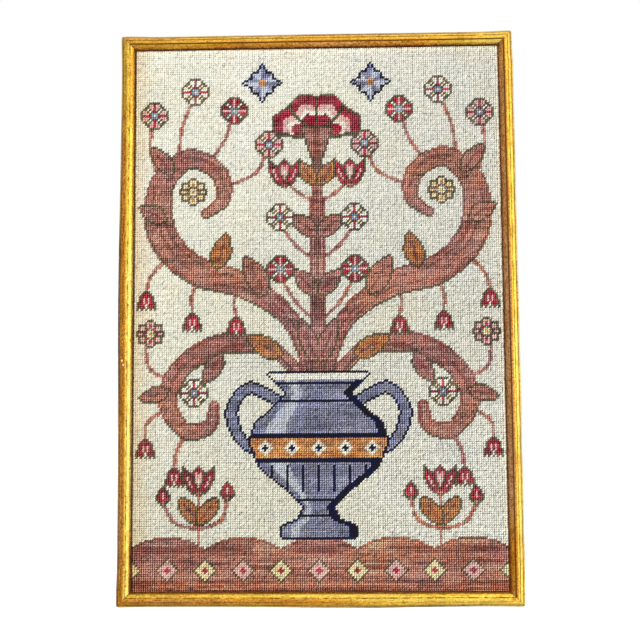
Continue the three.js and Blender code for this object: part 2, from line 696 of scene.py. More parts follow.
class Surface:
    """A material in the making."""

    def __init__(self, name):
        self.material = bpy.data.materials.new(name)
        self.material.use_nodes = True
        self.tree = self.material.node_tree

    def place(self):
        """Where a point is on the piece, in metres."""
        return Wire(add_node(self.tree, "TexCoord"), "Object")

    def attribute(self, name, output="Fac"):
        return Wire(add_node(self.tree, "Attribute", {"attribute_name": name}), output)

    def yarn_colour(self):
        return self.attribute("yarn_colour", "Color")

    def finish(self, **inputs):
        """Feeds the shader's sockets, by name, and gives the material."""
        for name, value in inputs.items():
            feed(self.tree.nodes["Principled BSDF"].inputs[name.replace("_", " ")], value)
        return self.material


# ---- materials


def wool_material():
    """Tapestry wool: the yarn's own colour, plied strands with painted shade between them, loose fibres and
    a soft bloom.
    """
    wool = Surface("wool_yarn")
    colour = wool.yarn_colour()
    along, across = wool.attribute("along"), wool.attribute("across")
    strands = abs((along * 16.0 + across * 3.0).maths("SINE"))
    place = wool.place()
    fibres = noise(place, 5200.0, 2.0)
    lots = noise(place, 60.0)
    # Painted shade darkens the yarn between its plies, and loose fibres vary it.
    twisted = shaded(colour, (strands * 0.5 + fibres).remap(0.4, 1.2, 0.86, 1.08))
    dust = lots.remap(0.35, 0.7, 0.0, 0.10) * brightness(colour).remap(0.02, 0.14)
    return wool.finish(
        Base_Color=mix(dust, twisted, (0.72, 0.62, 0.44)),
        Normal=bump(strands + fibres * 0.8, 0.45, 0.00012),
        Roughness=fibres.remap(0.3, 0.7, 0.82, 0.97),
        Specular_IOR_Level=0.25,
        Sheen_Weight=0.15,
        Sheen_Roughness=0.5,
    )


def canvas_material():
    """What shows between the stitches: wool darkened with painted shade where it dives into the holes, and
    canvas threads with painted shade between them.
    """
    canvas = Surface("canvas_threads")
    place = canvas.place()
    x, z = across_and_up(place)
    turn = 2 * math.pi / PITCH
    warp, weft = (x * turn).maths("COSINE"), (z * turn).maths("COSINE")
    weave = warp.maths("MAXIMUM", weft)
    grain = noise(place, 2600.0)
    level = weave.remap(-1.0, 1.0, 0.0, 0.7) + grain * 0.3
    # Painted shade darkens the canvas between its threads.
    shade = ramp(level, [(0.1, (0.55, 0.50, 0.46)), (0.6, (0.92, 0.90, 0.86)), (1.0, (1.0, 1.0, 1.0))])
    return canvas.finish(
        Base_Color=mix(1.0, canvas.yarn_colour(), shade, "MULTIPLY"),
        Normal=bump(level, 0.8, 0.0004),
        Roughness=grain.remap(0.3, 0.7, 0.8, 1.0),
        Specular_IOR_Level=0.2,
    )


def wool_back_material():
    """The back of the work: slanting floats of the same yarns, darkened with painted shade between them in
    the canvas's grid.
    """
    back = Surface("wool_back")
    place = back.place()
    x, z = across_and_up(place)
    turn = 2 * math.pi / PITCH
    floats = abs(((x + z * 0.5) * turn).maths("SINE"))
    rows = abs((z * (turn / 2)).maths("SINE"))
    fibres = noise(place, 3800.0)
    level = floats**0.5 * rows**0.4 * 0.8 + fibres * 0.35
    return back.finish(
        # The yarn colour is darkened between the floats as painted shade.
        Base_Color=shaded(back.yarn_colour(), level.remap(0.1, 1.1, 0.35, 1.05)),
        Normal=bump(level, 0.9, 0.0005),
        Roughness=fibres.remap(0.3, 0.7, 0.84, 0.98),
        Specular_IOR_Level=0.2,
    )


def on_section(stops):
    """Ramp stops by millimetres in from the outer edge, from the back of the side to the sight edge."""
    return [((place + FACE_WIDTH) / (2 * FACE_WIDTH), value) for place, value in stops]


def along_rail(across, along, across_scale, along_scale):
    """A place on a rail's skin for a texture stretched along the rail. Scales are per millimetre."""
    return combine(along * along_scale, across * across_scale)


def toned_gold(coppery, broad, clouds, fine, stipple):
    """Gold leaf from yellow to copper, the copper partly painted shade, with brown toning in streaks,
    clouds, lines and a stipple.
    """
    gold = mix(coppery.remap(-0.3, 0.0), (0.94, 0.70, 0.20), (0.96, 0.65, 0.088))
    gold = mix(coppery.remap(0.0, 0.6), gold, (0.80, 0.340, 0.030))
    gold = mix(coppery.remap(0.6, 1.0), gold, (0.70, 0.375, 0.150))
    darker = mix(1.0, gold, (0.34, 0.24, 0.14), "MULTIPLY")
    gold = mix(broad.remap(0.50, 0.68, 0.0, 0.50), gold, darker)
    gold = mix(clouds.remap(0.48, 0.68, 0.0, 0.30), gold, darker)
    gold = mix(fine.remap(0.53, 0.64, 0.0, 0.62), gold, darker)
    strength = coppery.remap(-0.2, 0.9, 0.34, 1.0)
    brighter = mix(1.0, gold, (1.22, 1.34, 1.7), "MULTIPLY")
    gold = mix(stipple.remap(0.50, 0.40) * strength, gold, brighter)
    return mix(stipple.remap(0.51, 0.60) * strength, gold, darker)


def dirtied(gold, section):
    """The section darkens it with old dirt and painted shade: on the side, in its corners and on the sight
    edge.
    """
    dirt = ramp(section, on_section([
        (-13.5, (0.10, 0.075, 0.30)), (-7.0, (0.19, 0.15, 0.46)), (-0.8, (0.26, 0.23, 0.60)),
        (0.1, (0.52, 0.62, 1.0)), (0.9, (0.78, 0.95, 1.0)), (1.3, (0.66, 0.72, 1.0)),
        (1.75, (0.34, 0.28, 0.30)), (2.4, (0.88, 0.86, 0.85)), (3.2, (1.0, 1.0, 1.0)),
        (12.0, (1.0, 1.0, 1.0)), (12.7, (0.78, 0.72, 0.74)),
        (13.15, (0.25, 0.18, 0.20)), (13.45, (0.10, 0.06, 0.08)),
    ]))
    tone = mix(1.0, gold, dirt, "MULTIPLY")
    fillet = grey_ramp(section, on_section([(-0.9, 0), (0.3, 1), (1.2, 1), (1.7, 0)]))
    return mix(fillet * 0.55, tone, (0.62, 0.40, 0.20))


def scored(tone, across, along, toned):
    """Dark toning with painted shade in the groove, whole or in dashes, fainter in the finer line, and
    painted shade smeared round it.
    """
    dashes = noise(along_rail(across, along, 0.35, 0.11), 1.0, 3.0, 0.6).remap(0.42, 0.60)
    thick = toned.remap(0.0, 0.9, 0.78, 1.0)
    for line, share in ((GROOVE, 1.0), (FINE_LINE, 0.6)):
        off = abs(across - line[0])
        fill = dashes.maths("ADD", toned * share, clamp=True) * (thick * share)
        tone = mix(off.remap(0.30, 0.85, 1.0, 0.0) * fill, tone, (0.070, 0.025, 0.003))
    smear = across.remap(GROOVE[0] + 1.4, GROOVE[0] + 0.2) * toned
    smear = smear * across.remap(GROOVE[0] - 1.7, GROOVE[0] - 0.3, 0.0, 0.5)
    return mix(smear, tone, (0.16, 0.060, 0.012))


def gilt_material():
    """Old gilding, streaked and stippled with brown toning, dark in its lines, rubbed to its red ground."""
    gilding = Surface("gilding")
    names = ("in_from_edge", "along_length", "worn", "coppery", "edge_grime", "groove_toning")
    across, along, worn, coppery, grime, toned = (gilding.attribute(name) for name in names)
    place = gilding.place()
    broad = noise(along_rail(across, along, 0.75, 0.035), 1.0, 4.0, 0.65)
    fine = noise(along_rail(across, along, 1.1, 0.09), 1.0, 3.0, 0.65)
    stipple = noise(place, 560.0, 3.0, 0.8)
    clouds = noise(place, 45.0, 4.0, 0.6)
    gold = toned_gold(coppery, broad, clouds, fine, stipple)

    wander = (noise(place, 160.0, 2.0) - 0.5) * 0.5
    ragged = (stipple - 0.5) * 1.6
    tone = dirtied(gold, (across + (wander + ragged)).remap(-FACE_WIDTH, FACE_WIDTH))
    tone = scored(tone, across, along, toned)

    # Painted shadow lies black along parts of the outer edge.
    tone = mix((across + wander).remap(1.5, 0.8) * grime, tone, (0.022, 0.012, 0.008))

    # It is rubbed to the red ground, and chipped to the pale gesso.
    rub = noise(place, 520.0, 4.0, 0.65)
    bare = worn + (rub - 0.5) * 1.3
    rubbed = bare.remap(0.42, 0.58, 0.0, 0.65)
    chipped = bare.remap(0.86, 0.96)
    tone = mix(rubbed, tone, (0.27, 0.075, 0.020))
    tone = mix(chipped, tone, (0.80, 0.58, 0.28))

    lustre = brightness(tone)
    return gilding.finish(
        Base_Color=tone,
        Metallic=lustre.remap(0.03, 0.18, 0.10, 0.95) * (1.0 - chipped),
        Roughness=lustre.remap(0.05, 0.45, 0.55, 0.33) + rub * 0.12,
        Specular_IOR_Level=0.12,
        Normal=bump(fine * 0.8 + rub * 0.5 - rubbed * 0.5, 0.9, 0.0002),
    )


def raw_wood_material():
    """Bare softwood on the back and in the rabbet, darkened with age."""
    wood = Surface("bare_wood")
    along, across = wood.attribute("along_length"), wood.attribute("in_from_edge")
    stretched = along_rail(across, along, 0.7, 0.02)
    rings = noise(stretched, 1.6, 5.0, 0.6)
    pores = noise(stretched, 14.0, 3.0, 0.6)
    grain = rings * 0.75 + pores * 0.25
    tone = ramp(grain, [(0.30, (0.16, 0.085, 0.04)), (0.5, (0.38, 0.23, 0.12)), (0.70, (0.52, 0.35, 0.19))])
    stains = noise(wood.place(), 30.0)
    return wood.finish(
        Base_Color=mix(stains.remap(0.45, 0.7, 0.0, 0.6), tone, (0.13, 0.075, 0.04)),
        Normal=bump(grain, 0.4, 0.0003),
        Roughness=pores.remap(0.3, 0.7, 0.62, 0.82),
    )


# ---- the needlework


class Cloth:
    """Where the sheet lies, the holes of its canvas, and how far the stitches stand apart at them."""

    def __init__(self):
        self.low, self.high = low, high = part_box("needlework")
        self.middle_x, self.middle_z = (low.x + high.x) / 2, (low.z + high.z) / 2
        self.canvas = low.y + CANVAS_DEPTH * MM
        chance = seeded(11)
        self.place_holes(chance)
        self.part_stitches(chance)
        inset = 0.05 * MM
        self.hole_x = np.clip(self.hole_x, low.x + inset, high.x - inset)
        self.hole_z = np.clip(self.hole_z, low.z + inset, high.z - inset)

    def place_holes(self, chance):
        """An uneven grid: threads a little off their places, bowed slightly, and holes off theirs."""
        x = self.middle_x + (np.arange(COLUMNS + 1) - COLUMNS / 2) * PITCH
        z = self.middle_z + (np.arange(ROWS + 1) - ROWS / 2) * PITCH
        x = x + chance.normal(0, THREAD_WANDER, x.shape) * MM
        z = z + chance.normal(0, THREAD_WANDER, z.shape) * MM
        x, z = np.meshgrid(x, z)
        bow = lattice_noise(x, z, 0.16, 12) * WEAVE_BOW * MM
        sway = lattice_noise(z, x, 0.16, 13) * WEAVE_BOW * MM
        self.hole_x = x + bow + chance.normal(0, HOLE_WANDER, x.shape) * MM
        self.hole_z = z + sway + chance.normal(0, HOLE_WANDER, x.shape) * MM

    def part_stitches(self, chance):
        """Gaps from 0 to 1. Hairline ones run along a thread for some way."""
        x, z = self.hole_x, self.hole_z
        down = lattice_noise(x, z * 0.07, PITCH * 1.02, 14) + 0.5 * chance.normal(0, 1, (1, COLUMNS + 1))
        level = lattice_noise(z, x * 0.07, PITCH * 1.02, 15) + 0.5 * chance.normal(0, 1, (ROWS + 1, 1))
        gaps = []
        for by_thread in (freed(down, 1, 3), freed(level, 3, 1)):
            by_hole = freed(chance.normal(0, GAP_BY_HOLE, x.shape), 3, 3)
            gaps.append(np.clip(GAP_MEAN + GAP_BY_THREAD * by_thread + by_hole, 0, 1))
        self.between_columns, self.between_rows = gaps
        self.openness = np.maximum(*gaps)

    def settled(self, x, z):
        """How much the painted shade between the stitches and in the holes is softened: the most towards
        the upper left.
        """
        right, up = (x - self.middle_x) / OPENING[0], (z - self.middle_z) / OPENING[1]
        return np.clip(0.5 + up - right * 0.9, 0, 1)


def depths(chart):
    """How deep each stitch's yarn is, from 0 to 1."""
    return np.array([YARNS[name][1] for name in NAMES])[chart]


def dyed(chart, cloth):
    """The colour of each stitch in linear light, with uneven dye, dust, painted glints, and painted light
    and shade.
    """
    chance = seeded(21)
    x, z = cloth.hole_x[:-1, :-1] - cloth.middle_x, cloth.hole_z[:-1, :-1] - cloth.middle_z
    pale = depths(chart) < 0.6
    each = chance.normal(0, 1, chart.shape)
    each = np.where(pale, UNEVEN_EACH[0] * freed(each, 3, 3), UNEVEN_EACH[1] * each)
    by_row = chance.normal(0, 0.03, (ROWS, 1))
    by_column = chance.normal(0, 0.025, (1, COLUMNS))
    lots = lattice_noise(x * 0.35, z, 0.012, 22) * 0.04
    broad = (by_row + by_column + lots) * np.where(pale, 0.45, 1)
    lengths = lattice_noise(x * 0.09, z, PITCH * 1.05, 25)
    lengths = (lengths + 0.6 * np.maximum(lengths - 0.35, 0)) * np.where(pale, *UNEVEN_ALONG)
    colours = linear(np.array([YARNS[name][0] for name in NAMES]))[chart]
    colours = colours * (1 + each + broad + lengths)[..., None]
    # A few pale stitches are brightened as painted glints, and a few more are dulled by dust.
    for share, gain in ((0.03, 1.12), (0.035, 0.74)):
        colours[pale & (chance.random(chart.shape) < share)] *= gain
    colours = aged(colours, x, z)

    # The rose-brown wool leans to orange in some lots and to mauve in others.
    lean = lattice_noise(x, z, 0.045, 24) + 0.5 * lattice_noise(x * 0.3, z, 0.016, 26)
    brown = np.isin(chart, [yarn(name) for name in ("rose_brown", "deep_brown", "rose")])
    return np.clip(tinted(colours, lean * brown, (0.09, 0.05, -0.10)), 0.004, 0.98)


def aged(colours, x, z):
    """Painted light and shade over the wool, with random colour casts: duller in the middle and on the
    left, yellower to the left and below.

    Beside the frame it is painted brighter and warmer above and on the right, and painted darker and warmer
    on the left and below.
    """
    right, up = 2 * x / OPENING[0], 2 * z / OPENING[1]
    # Painted shade: duller in the middle and on the left.
    clean = 0.4 * up**2 + 0.6 * np.clip(right - up, 0, 2)
    cast = lattice_noise(x, z, 0.018, 27) + 0.7 * lattice_noise(x, z, 0.006, 28)
    # Painted shade: darker and yellower towards the lower left, varied at random.
    age = np.clip(0.32 - x / 0.36 * 0.5 - z / 0.53 * 0.5, 0, 1)
    age = np.clip(age + lattice_noise(x, z, 0.07, 23) * 0.3, 0, 1)
    from_edge = np.minimum(OPENING[0] / 2 - np.abs(x + PITCH / 2), OPENING[1] / 2 - np.abs(z + PITCH / 2))
    # Painted light: brighter and warmer beside the frame above and on the right.
    by_frame = np.clip(1.3 - from_edge / (1.8 * PITCH), 0, 1) * (x / OPENING[0] + z / OPENING[1] > 0)
    # Painted shade: darker and warmer beside the frame on the left and below.
    stained = np.maximum(1 - (x + OPENING[0] / 2) / (8 * PITCH), 1 - (z + OPENING[1] / 2) / (6 * PITCH))
    stained = np.clip(stained + 0.15 * cast, 0, 1)
    colours = colours * (0.90 + 0.10 * clean[..., None])
    colours = tinted(colours, cast, (0.012, -0.004, -0.030))
    colours = tinted(colours, age, (-0.025, -0.04, -0.13))
    colours = tinted(colours, by_frame, (0.24, 0.17, 0.06))
    return tinted(colours, stained, (-0.07, -0.20, -0.34))


def work_stitches(name, first, last, cloth, colours, deep, material):
    """Rows of slanting stitches, each a plump arch of yarn from one hole to the next one up and right."""
    chance = seeded(100 + first)
    count = (last - first) * COLUMNS

    def at_ends(values):
        """The values at the holes where the stitches start, and where they end."""
        ends = values[first:last, :-1], values[first + 1 : last + 1, 1:]
        return [part.reshape(count, -1) for part in ends]

    start, end = at_ends(np.stack([cloth.hole_x, cloth.hole_z], -1))
    apart = at_ends(np.stack([cloth.between_columns, cloth.between_rows], -1))
    run = end - start
    sideways = np.stack([-run[:, 1], run[:, 0]], -1) / np.linalg.norm(run, axis=1, keepdims=True)
    yarns, dark = colours[first:last].reshape(count, 3), deep[first:last].reshape(count)
    x, z = start.T
    tight = 0.5 * lattice_noise(x * 0.12, z, PITCH * 0.9, 31)
    tight = tight + 0.5 * lattice_noise(x, z * 0.12, PITCH * 0.9, 32)
    width = (by_depth(YARN_WIDTH, dark) + 0.10 * tight + chance.normal(0, 0.05, count)) * MM
    rise = (YARN_RISE + chance.normal(0, 0.03, count) + 0.05 * tight) * MM
    lean = chance.normal(0, 0.09, count) * MM
    # How strong the painted shade between stitches is.
    tidy = 1 - (1 - dark) * 0.52 * cloth.settled(x, z) ** 2
    shades = np.stack([by_depth(SHADE_ACROSS, dark), by_depth(SHADE_UP, dark)], -1) * tidy[:, None]
    even, uneven = (0.15 + 0.6 * dark)[:, None], (2.4 - 1.6 * dark)[:, None]

    at = np.arange(len(STITCH_ALONG) * 3).reshape(-1, 3)
    places, tints = np.empty((2, count, *at.shape, 3))
    for ring, k in np.ndindex(at.shape):
        t, side = STITCH_ALONG[ring], k - 1
        offset = side * width / 2 * STITCH_WIDTH[ring] + lean * math.sin(math.pi * t)
        spot = start + run * t + sideways * offset[:, None]
        lift = rise * (STITCH_HEIGHT[ring] if side == 0 else STITCH_HEIGHT[ring] * 0.45 - 0.30)
        places[:, ring, k] = np.stack([spot[:, 0], cloth.canvas - lift, spot[:, 1]], -1)
        # Painted shade: the stitch darkens towards the lines between columns and between rows, and at its
        # edges, and a deep yarn grows richer in colour where it is darkened.
        near = np.cos(math.pi * np.clip((spot - start) / run, 0, 1)) ** 2
        gloom = (1 - np.clip(shades * (even + uneven * apart[int(t > 0.5)]), 0, 0.96) * near).prod(axis=1)
        if side:
            gloom *= by_depth(EDGE_SHADE, dark)
        tints[:, ring, k] = yarns ** (1 + 0.65 * (dark * (1 - gloom))[:, None]) * gloom[:, None]
    faces = (np.arange(count)[:, None, None] * at.size + grid_faces(at)).reshape(-1, 4)
    places = places.reshape(-1, 3)
    piece = new_mesh(name, places, faces.tolist(), [material])
    add_colour(piece, "yarn_colour", tints.reshape(-1, 3))
    along, across = np.repeat(STITCH_ALONG, 3), np.tile((-1, 0, 1), len(at))
    add_numbers(piece, along=np.tile(along, count), across=np.tile(across, count))
    add_map(piece, unit(places[:, 0]), unit(places[:, 2]))
    return piece


def round_holes(values):
    """The mean of the four stitches round each hole."""
    padded = np.pad(values, ((1, 1), (1, 1), (0, 0)), "edge")
    return (padded[:-1, :-1] + padded[1:, :-1] + padded[:-1, 1:] + padded[1:, 1:]) / 4


def hole_tints(cloth, wool, dark):
    """What shows at each hole: the wool of the stitches round it, darkened with painted shade."""
    pale = HOLE_SHADE[0] + 0.34 * cloth.settled(cloth.hole_x, cloth.hole_z) ** 2
    shade = by_depth((pale, HOLE_SHADE[1]), dark) * (1 - 0.75 * cloth.openness)
    return wool ** (1 + 0.5 * dark[..., None]) * shade[..., None]


def sheet_side(cloth, y, edge_y, threads):
    """Places over one side of the sheet, at the holes of the threads given, square at its edges."""
    x, z = cloth.hole_x[np.ix_(*threads)], cloth.hole_z[np.ix_(*threads)]
    x[:, 0], x[:, -1] = cloth.low.x, cloth.high.x
    z[0], z[-1] = cloth.low.z, cloth.high.z
    y[0] = y[-1] = y[:, 0] = y[:, -1] = edge_y
    return np.stack([x, y, z], -1).reshape(-1, 3)


def make_sheet(name, cloth, colours, deep, materials):
    """The canvas as one closed sheet: threads darkened with painted shade in front, the wool's floats on
    its back.
    """
    wool, dark = round_holes(colours), round_holes(deep[..., None])[..., 0]
    raised = by_depth(HOLE_RISE, dark) + HOLE_GAPE * (cloth.openness - 0.4)
    threads = np.arange(ROWS + 1), np.arange(COLUMNS + 1)
    front = sheet_side(cloth, cloth.canvas - raised * MM, cloth.canvas, threads)
    front_at = np.arange(len(front)).reshape(dark.shape)

    # The back takes every other thread.
    chance = seeded(41)
    threads = [np.unique(np.append(np.arange(0, size, 2), size)) for size in (ROWS, COLUMNS)]
    j, i = np.indices([len(line) for line in threads])
    depth = 0.5 - 0.26 * ((i + j) % 2) - 0.24 * chance.random(i.shape)
    back = sheet_side(cloth, cloth.high.y - depth * MM, cloth.high.y - 0.5 * MM, threads)
    back_at = np.arange(len(back)).reshape(i.shape) + len(front)
    row = np.clip(threads[0][:, None] + chance.integers(-1, 1, i.shape), 0, ROWS - 1)
    column = np.clip(threads[1][None, :] + chance.integers(-1, 1, i.shape), 0, COLUMNS - 1)

    rim = (
        (front_at[0, ::-1], back_at[0]),
        (front_at[:, 0], back_at[::-1, 0]),
        (front_at[-1], back_at[-1, ::-1]),
        (front_at[::-1, -1], back_at[:, -1]),
    )
    faces = grid_faces(front_at)[:, [0, 3, 2, 1]].tolist()
    slots = [0] * len(faces)
    faces += grid_faces(back_at).tolist() + [np.concatenate(edges).tolist() for edges in rim]
    slots += [1] * (len(faces) - len(slots))
    places = np.concatenate([front, back])
    piece = new_mesh(name, places, faces, materials, slots)
    for face in piece.data.polygons[-len(rim) :]:
        face.use_smooth = False
    tints = hole_tints(cloth, wool, dark).reshape(-1, 3), colours[row, column].reshape(-1, 3)
    add_colour(piece, "yarn_colour", np.concatenate(tints))
    across = unit(places[:, 0]) * 0.49
    across[len(front) :] += 0.51
    add_map(piece, across, unit(places[:, 2]))
    return piece


def make_needlework():
    cloth = Cloth()
    chart = design()
    colours, deep = dyed(chart, cloth), depths(chart)
    wool = wool_material()
    sheet = make_sheet("needlework_canvas", cloth, colours, deep, (canvas_material(), wool_back_material()))
    edges = np.linspace(0, ROWS, STITCH_BANDS + 1).astype(int)
    bands = [
        work_stitches(f"stitches_{k + 1}", edges[k], edges[k + 1], cloth, colours, deep, wool)
        for k in range(STITCH_BANDS)
    ]
    for piece in (sheet, *bands):
        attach(piece, "root")
        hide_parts("needlework")
    return sheet, bands


# ---- the frame

# u is millimetres in from the outer edge, h millimetres above the flat back, s millimetres along a
# length of moulding from its start, and t the share of that length.


def dome_height(u):
    """The dome's height without its scores."""
    middle, half = (DOME_START + DOME_END) / 2, (DOME_END - DOME_START) / 2
    return DOME_FOOT + (DOME_CREST - DOME_FOOT) * math.sqrt(max(0.0, 1 - ((u - middle) / half) ** 2))


def dome():
    """Points over the dome, with the fine line and the groove cut into it."""
    middle, half = (DOME_START + DOME_END) / 2, (DOME_END - DOME_START) / 2
    us = [middle + half * math.cos(a) for a in np.linspace(math.pi, 0, DOME_POINTS)]
    points = [(u, dome_height(u)) for u in us]
    for at, width, depth in (FINE_LINE, GROOVE):
        points = [p for p in points if abs(p[0] - at) > width * 0.75]
        for off in (-0.5, -0.3, 0.0, 0.3, 0.5):
            u = at + off * width
            points.append((u, dome_height(u) - depth * (1 - abs(off) * 2) ** 0.8))
    return sorted(points)


def moulding_section():
    """The section's points in order round it, and whether the surface that starts at each is gilt."""
    side_top = FILLET_HEIGHT - EDGE_RADIUS
    back_edge = FACE_WIDTH - RABBET_WIDTH
    back = [(back_edge, 0), (6.0, 0), (3.0, 0), (0.3, 0)]
    gilt = [(0, height) for height in (0, 0.4, 3.5, 7, 10.5)]
    for a in np.linspace(math.pi, math.pi / 2, 5):
        gilt.append((EDGE_RADIUS * (1 + math.cos(a)), side_top + EDGE_RADIUS * math.sin(a)))
    gilt += [(FILLET_WIDTH, FILLET_HEIGHT), *dome()]
    gilt += [(13.3, 13.30), (13.8, 12.40), (FACE_WIDTH, SIGHT_EDGE_HEIGHT)]
    rabbet = [(across, LIP_BACK) for across in (FACE_WIDTH, 11.5, back_edge)]
    rabbet += [(back_edge, 5.0), (back_edge, 0.3)]
    u, h = np.array(back + gilt + rabbet).T
    return u, h, np.repeat((False, True, False), (len(back), len(gilt), len(rabbet)))


def outward(u, h):
    """The direction that faces out of the section at each of its points."""
    du, dh = np.roll(u, -1) - np.roll(u, 1), np.roll(h, -1) - np.roll(h, 1)
    size = np.hypot(du, dh)
    return -dh / size, du / size


def stations(length):
    """Shares of a rail's length, closer together beside the mitres."""
    ends = np.array([0, 0.12, 0.3, 0.6, 1.2])
    body = np.linspace(2.4, length - 2.4, int(length / STATION_STEP))
    return np.concatenate([ends, body, length - ends[::-1]]) / length


# How coppery each side's gilding is: partly patina, and partly painted shade on the halves of the rails
# that face left and down. The sides run anticlockwise.


def bottom_patina(u, t):
    crest = eased(u, 4.0, 5.5) * eased(u, 8.4, 7.4)
    outside = eased(u, 9.4, 7.6) * (0.4 + 0.6 * eased(u, 2.4, 4.4))
    return 0.02 + (0.50 * outside + 0.12 * crest + 0.06) * eased(t, 0.72, 0.45)


def right_patina(u, t):
    high, low = eased(t, 0.55, 0.9), eased(t, 0.22, 0.04)
    brown = eased(u - 1.2 * high, 5.7, 7.8) * (1 - 0.35 * high - 0.38 * low)
    return 0.18 * high - 0.08 * (1 - high) * eased(u, 6.5, 5.0) + 0.96 * brown


def top_patina(u, t):
    middle = eased(t, 0.12, 0.3) * eased(t, 0.85, 0.65)
    inside = eased(u, 7.0, 9.0) * (0.40 * middle - 0.30 * eased(t, 0.25, 0.05))
    return 0.17 + 0.17 * eased(t, 0.02, 0.35) + inside


def left_patina(u, t):
    bound = 6.3 + 0.9 * eased(t, 0.25, 0.45)
    brown = eased(u, bound + 0.8, bound - 0.9) * (0.22 + 0.46 * eased(t, 0.06, 0.32))
    inside = eased(u, 7.5, 9.5)
    return brown + inside * (0.46 * eased(t, 0.24, 0.08) - 0.22 * eased(t, 0.3, 0.55))


class Side:
    """One side of the frame, from the corner where its outer edge starts.

    The number before swell is how much of its groove is dark, with toning and painted shade. swell: how
    far its outer edge lies out all along, how much further at its widest, and where along it that is.
    rubs: along, across, half length, half width and strength. After rubs come the runs of painted black
    shadow along the outer edge: from, to and how thick.
    """

    def __init__(self, node, seed, start, along, inward, patina, toning, swell, rubs, grime):
        self.node, self.seed, self.patina, self.toning = node, seed, patina, toning
        self.start, self.along, self.inward = (np.array(v, float) for v in (start, along, inward))
        self.swell, self.rubs, self.grime = swell, rubs, grime
        low, high = CAD_BOX
        self.length = abs(np.dot(self.along, np.array(high) - np.array(low))) / MM


def frame_sides():
    low, high = CAD_BOX
    back = high.y
    return (
        Side("frame_bottom", 51, (low.x, back, low.z), (1, 0, 0), (0, 0, 1), bottom_patina, 0.0,
             swell=(-0.35, 1.2, 0.58), grime=((0.60, 0.88, 0.6),),
             rubs=((96, 4.4, 14, 1.6, 0.55), (128, 10, 9, 1.4, 0.45), (371, 9, 4, 5, 0.6),
                   (250, 4.5, 20, 1, 0.3))),
        Side("frame_right", 52, (high.x, back, low.z), (0, 0, 1), (-1, 0, 0), right_patina, 1.0,
             swell=(0.55, 0.2, 0.40), grime=((0.76, 0.82, 0.4),),
             rubs=((8, 9, 5, 5, 0.5), (210, 4, 18, 1, 0.3), (430, 10, 12, 1, 0.3))),
        Side("frame_top", 53, (high.x, back, high.z), (-1, 0, 0), (0, 0, -1), top_patina, 0.9,
             swell=(-0.8, 0.2, 0.50), grime=((0.10, 0.55, 0.35),),
             rubs=((60, 4.4, 16, 1, 0.3), (300, 10, 12, 1.2, 0.35))),
        Side("frame_left", 54, (low.x, back, high.z), (0, 0, -1), (1, 0, 0), left_patina, 0.0,
             swell=(-0.6, 1.4, 0.45), grime=((0.34, 0.66, 1.0), (0.93, 0.99, 0.5)),
             rubs=((120, 4.4, 16, 1, 0.35), (390, 10, 22, 1, 0.3), (540, 2, 6, 4, 0.4),
                   (319, 4.4, 1.7, 0.9, 1.9), (323, 5.6, 1.6, 0.8, 1.8))),
    )


def knocks(side):
    """Small knocks on a rail: along it, across it, radius, depth, all in millimetres."""
    chance = seeded(side.seed)
    count = int(side.length / KNOCK_SPACING)
    along = chance.uniform(3, side.length - 3, count)
    across = chance.choice(KNOCK_PLACES, count) + chance.normal(0, 0.25, count)
    radius = chance.uniform(0.5, 1.0, count) ** 2 * 1.9
    depth = radius * chance.uniform(0.05, 0.16, count)
    return zip(along, across, radius, depth)


def worn_skin(side, s, u, on_face):
    """Over a rail's skin: how worn the gilding is, and how deep it is knocked in."""
    worn, knock = np.zeros(s.shape), np.zeros(s.shape)
    for along, across, radius, depth in knocks(side):
        near = np.exp(-(((s - along) ** 2 + (u - across) ** 2) / radius**2)) * on_face
        knock += near * depth
        worn = np.maximum(worn, near * min(0.25 + radius * 0.35, 0.75))
    for along, across, half_length, half_width, strength in side.rubs:
        near = np.exp(-(((s - along) / half_length) ** 2 + ((u - across) / half_width) ** 2)) * on_face
        worn = np.maximum(worn, near * strength)
    from_mitre = np.minimum(s - u, side.length - s - u)
    chips = 0.95 + 0.2 * lattice_noise(u, u * 0, 2.5, side.seed + 30)
    for strength, reach in ((0.42, MITRE_RUB), (chips, MITRE_CHIP)):
        worn = np.maximum(worn, strength * np.exp(-((from_mitre / reach) ** 2)) * on_face)
    reach, depth = MITRE_SINK
    return worn, knock + depth * np.clip(1 - from_mitre / reach, 0, 1) * on_face


def grime_along(side, t):
    """How thick the painted black shadow is along the outer edge."""
    runs = [
        thick * eased(t, first - 0.03, first + 0.04) * eased(t, last + 0.03, last - 0.04)
        for first, last, thick in side.grime
    ]
    return np.max(runs, axis=0)


def out_of_true(side, s, u):
    """A rail's places with the outer edge's swell, and with the outer corners rubbed round."""
    level, swell, centre = side.swell
    bulge = level + swell * np.exp(-(((s / side.length - centre) / SWELL_SHARE) ** 2))
    bulge = bulge * eased(np.minimum(s, side.length - s), *SWELL_CLEAR)
    at_start = np.clip(1 - (s + u) / CORNER_REACH, 0, 1) ** 2
    at_end = np.clip(1 - (side.length - s + u) / CORNER_REACH, 0, 1) ** 2
    across = u - bulge * np.clip(1 - u / FACE_WIDTH, 0, 1) + CORNER_RUB * (at_start + at_end)
    return s + CORNER_RUB * (at_start - at_end), across


